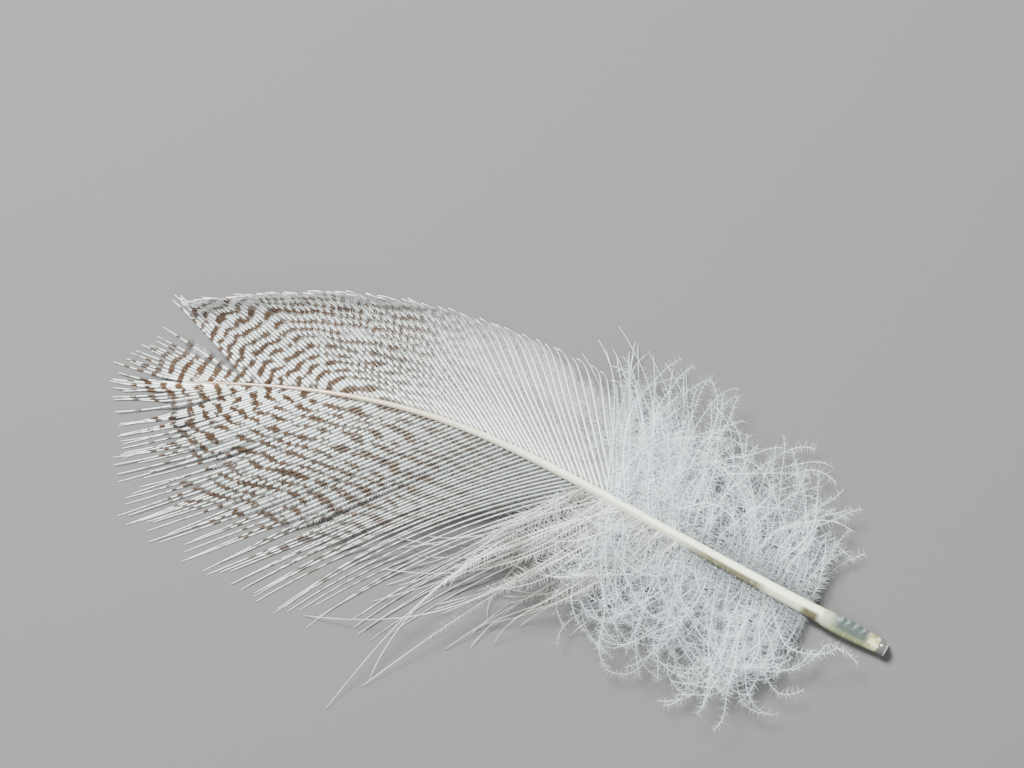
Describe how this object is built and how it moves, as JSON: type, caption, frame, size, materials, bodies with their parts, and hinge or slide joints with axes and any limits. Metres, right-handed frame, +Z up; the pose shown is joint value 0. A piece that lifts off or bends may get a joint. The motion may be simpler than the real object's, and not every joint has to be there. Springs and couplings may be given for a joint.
{
  "type": "feather",
  "caption": "Contour feather of a duck lying flat: curved shaft with a cut hollow quill, brown barred white vane with one rolled margin, and loose down at its foot.",
  "frame": {"origin": "centre of the bounding box at the surface that the feather lies on", "axes": "+X along the feather towards the cut end of the quill, +Y across it towards the vane with the rolled margin, +Z up from the surface"},
  "size_m": [0.0751, 0.0408, 0.0068],
  "materials": {
    "vane": "soft keratin barbs, white with wavy brown bars",
    "shaft": "smooth pale horn, tan towards the tip, clear greenish at the quill",
    "down": "fine loose cool white down"
  },
  "bodies": {
    "root": {"feather": "vane"}
  },
  "joints": []
}
